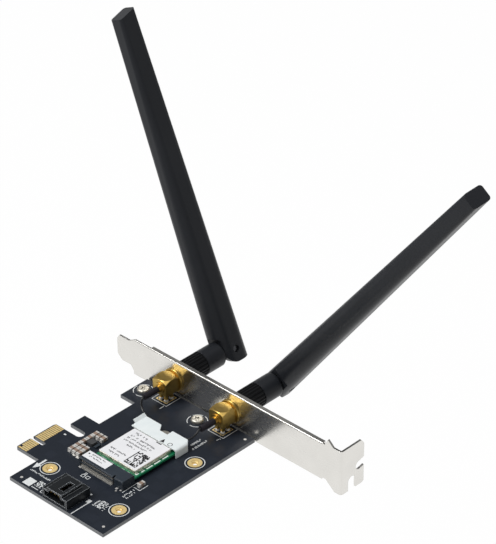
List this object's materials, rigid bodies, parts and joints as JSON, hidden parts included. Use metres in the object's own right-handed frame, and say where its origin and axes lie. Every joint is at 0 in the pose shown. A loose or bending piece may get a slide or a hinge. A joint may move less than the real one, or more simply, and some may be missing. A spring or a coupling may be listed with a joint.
{
  "type": "wireless network card",
  "caption": "Short plug-in expansion card with a full-height steel bracket, a radio module in a socket, gold radio jacks and folding black antennas on swivels.",
  "frame": {"origin": "on the contact edge at the middle of the key notch, in the plane of the board's component face", "axes": "+X from the contact edge up the bracket to its screw tab, +Y out through the bracket along the jacks, +Z away from the board's component face"},
  "size_m": [0.1759, 0.1261, 0.144],
  "materials": {
    "board_black": "satin solder mask over glass-fibre laminate",
    "gold": "polished gold plating",
    "bracket_steel": "satin nickel plate",
    "screw_steel": "bright nickel plate",
    "module_green": "satin solder mask",
    "shield_metal": "tinned sheet",
    "label_white": "matt printed label",
    "white_cover": "milky soft moulding",
    "black_moulding": "satin moulding",
    "tinned_metal": "tin plate",
    "chip_ceramic": "matt fired ceramic",
    "coil_ferrite": "matt grey",
    "lead_black": "satin jacket",
    "sleeve_black": "matt shrink sleeve",
    "antenna_black": "satin fine-grained moulding",
    "pin_black": "satin"
  },
  "bodies": {
    "card": {"bracket": "bracket_steel", "bracket_screws": "screw_steel", "chip_bodies": "chip_ceramic", "chip_ends": "tinned_metal", "circuit_board": "board_black", "contact_fingers": "gold", "header_pins": "gold", "hole_eyelets": "gold", "left_hex_nut": "gold", "left_jack": "gold", "left_lead": "lead_black", "left_lock_washer": "gold", "left_plug": "gold", "left_sleeve": "sleeve_black", "module_board": "module_green", "module_label": "label_white", "module_screw": "screw_steel", "module_shield": "shield_metal", "module_socket": "black_moulding", "module_standoff": "screw_steel", "plug_cover": "white_cover", "right_hex_nut": "gold", "right_jack": "gold", "right_lead": "lead_black", "right_lock_washer": "gold", "right_plug": "gold", "right_sleeve": "sleeve_black", "side_header": "black_moulding", "socket_label": "label_white", "socket_tails": "tinned_metal", "supply_coil": "coil_ferrite", "supply_regulator": "black_moulding"},
    "left_nut": {"left_antenna_nut": "antenna_black"},
    "left_barrel": {"left_antenna_barrel": "antenna_black"},
    "left_blade": {"left_antenna_blade": "antenna_black", "left_hinge_pin": "pin_black"},
    "right_nut": {"right_antenna_nut": "antenna_black"},
    "right_barrel": {"right_antenna_barrel": "antenna_black"},
    "right_blade": {"right_antenna_blade": "antenna_black", "right_hinge_pin": "pin_black"}
  },
  "joints": [
    {"name": "left_nut_turn", "type": "hinge", "parent": "card", "child": "left_nut", "pos_m": [0.0196, 0.066, 0.00665], "axis": [0, 1, 0], "range_deg": [0, 90]},
    {"name": "left_swivel", "type": "hinge", "parent": "card", "child": "left_barrel", "pos_m": [0.0196, 0.08, 0.00665], "axis": [0, 1, 0], "range_deg": [-157.35, 22.65]},
    {"name": "left_tilt", "type": "hinge", "parent": "left_barrel", "child": "left_blade", "pos_m": [0.0196, 0.08852, 0.00665], "axis": [0.9229, 0, 0.3851], "range_deg": [-90, 0]},
    {"name": "right_nut_turn", "type": "hinge", "parent": "card", "child": "right_nut", "pos_m": [0.0505, 0.066, 0.00665], "axis": [0, 1, 0], "range_deg": [0, 90]},
    {"name": "right_swivel", "type": "hinge", "parent": "card", "child": "right_barrel", "pos_m": [0.0505, 0.08, 0.00665], "axis": [0, 1, 0], "range_deg": [-36.56, 143.44]},
    {"name": "right_tilt", "type": "hinge", "parent": "right_barrel", "child": "right_blade", "pos_m": [0.0505, 0.08852, 0.00665], "axis": [0.8032, 0, -0.5957], "range_deg": [-85.8, 4.2]}
  ]
}
